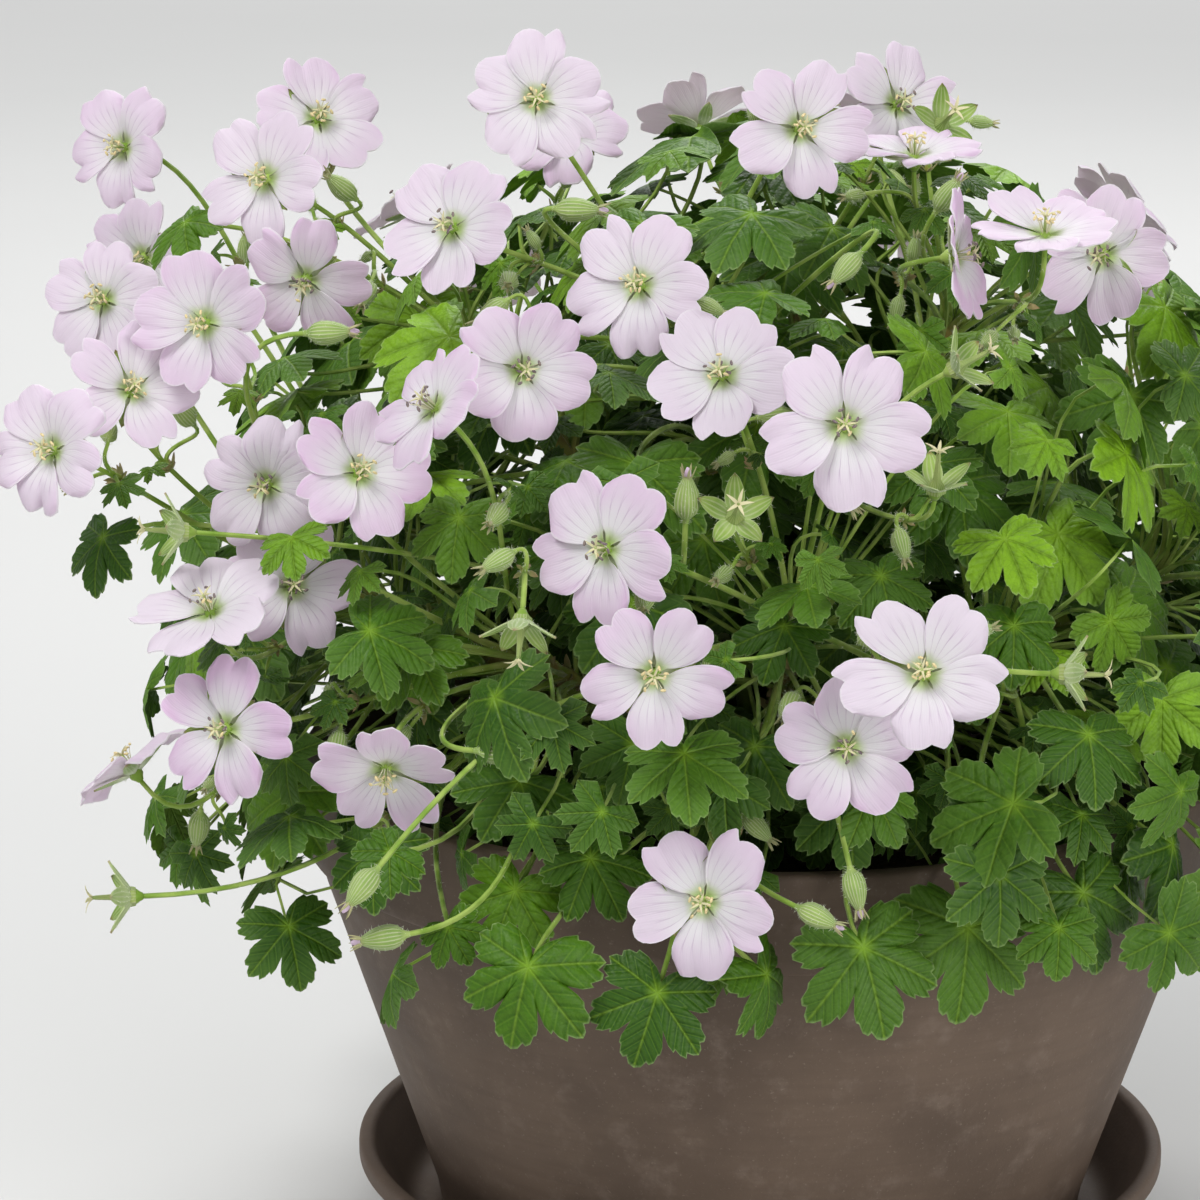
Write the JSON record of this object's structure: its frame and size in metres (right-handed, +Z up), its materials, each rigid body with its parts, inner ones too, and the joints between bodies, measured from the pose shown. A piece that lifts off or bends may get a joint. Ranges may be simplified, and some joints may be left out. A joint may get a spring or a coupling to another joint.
{
  "type": "hardy geranium",
  "caption": "Mound of hardy geranium with five-petalled pale pink blooms and palmate leaves, in a low round pot on a saucer.",
  "frame": {"origin": "centre of the saucer's flat underside, on the surface that it stands on", "axes": "+Z up; -Y towards the plant's fullest side, +X to its right seen from the front"},
  "size_m": [0.2998, 0.3113, 0.2916],
  "materials": {
    "petal": "soft satin petal, white towards the middle, with fine mauve veins",
    "foliage": "matte to satin leaf green, lighter along the veins, finely hairy",
    "pot": "matte taupe-brown clay, softly mottled",
    "saucer": "matte taupe-brown clay",
    "soil": "dark crumbly peat and bark"
  },
  "bodies": {
    "root": {"saucer": "saucer", "pot": "pot", "soil": "soil", "leafy_stem_01": "foliage", "leafy_stem_02": "foliage", "leafy_stem_03": "foliage", "leafy_stem_04": "foliage", "leafy_stem_05": "foliage", "leafy_stem_06": "foliage", "leafy_stem_07": "foliage", "leafy_stem_08": "foliage", "leafy_stem_09": "foliage", "leafy_stem_10": "foliage", "leafy_stem_11": "foliage", "leafy_stem_12": "foliage", "leafy_stem_13": "foliage", "bloom_01": "petal", "bloom_02": "petal", "bloom_03": "petal", "bloom_04": "petal", "bloom_05": "petal", "bloom_06": "petal", "bloom_07": "petal", "bloom_08": "petal", "bloom_09": "petal", "bloom_10": "petal", "bloom_11": "petal", "bloom_12": "petal", "bloom_13": "petal", "bloom_14": "petal", "bloom_15": "petal", "bloom_16": "petal", "bloom_17": "petal", "bloom_18": "petal", "bloom_19": "petal", "bloom_20": "petal", "bloom_21": "petal", "bloom_22": "petal", "bloom_23": "petal", "bloom_24": "petal", "bloom_25": "petal", "bloom_26": "petal", "bloom_27": "petal", "bloom_28": "petal", "bloom_29": "petal", "bloom_30": "petal", "bloom_31": "petal", "bloom_32": "petal", "bloom_33": "petal", "bloom_34": "petal", "bloom_35": "petal", "bloom_36": "petal", "bloom_37": "petal", "bloom_38": "petal", "bloom_39": "petal", "bloom_40": "petal", "bloom_41": "petal", "bloom_42": "petal"}
  },
  "joints": []
}
